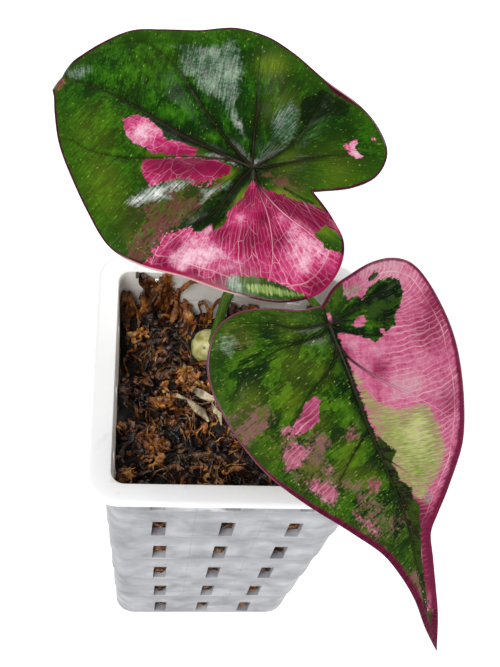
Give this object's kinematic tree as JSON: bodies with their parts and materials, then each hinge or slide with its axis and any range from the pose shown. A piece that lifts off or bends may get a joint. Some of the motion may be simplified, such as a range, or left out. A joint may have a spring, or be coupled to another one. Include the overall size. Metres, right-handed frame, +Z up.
{
  "type": "potted alocasia plant",
  "caption": "Young alocasia with marbled green and pink heart-shaped leaves on thin stalks, rooted in moss mix in a deep square slotted plastic pot.",
  "frame": {"origin": "centre of the pot's flat base", "axes": "+Z up along the pot, -Y towards the front leaf's tip side of the pot, X across the pot"},
  "size_m": [0.1311, 0.1638, 0.2256],
  "materials": {
    "pot_plastic": "satin white moulded plastic, slightly translucent and smudged",
    "growing_mix": "rough damp moss fibres and bark",
    "corm": "matte pale skin",
    "petiole": "smooth satin green",
    "leaf_back": "glossy deep green with a pink veined lobe",
    "leaf_front": "satin, half pink and half mottled green, burgundy edge"
  },
  "bodies": {
    "root": {"pot": "pot_plastic", "growing_mix": "growing_mix", "corm": "corm", "petiole_back": "petiole", "petiole_front": "petiole", "leaf_back": "leaf_back", "leaf_front": "leaf_front"}
  },
  "joints": []
}
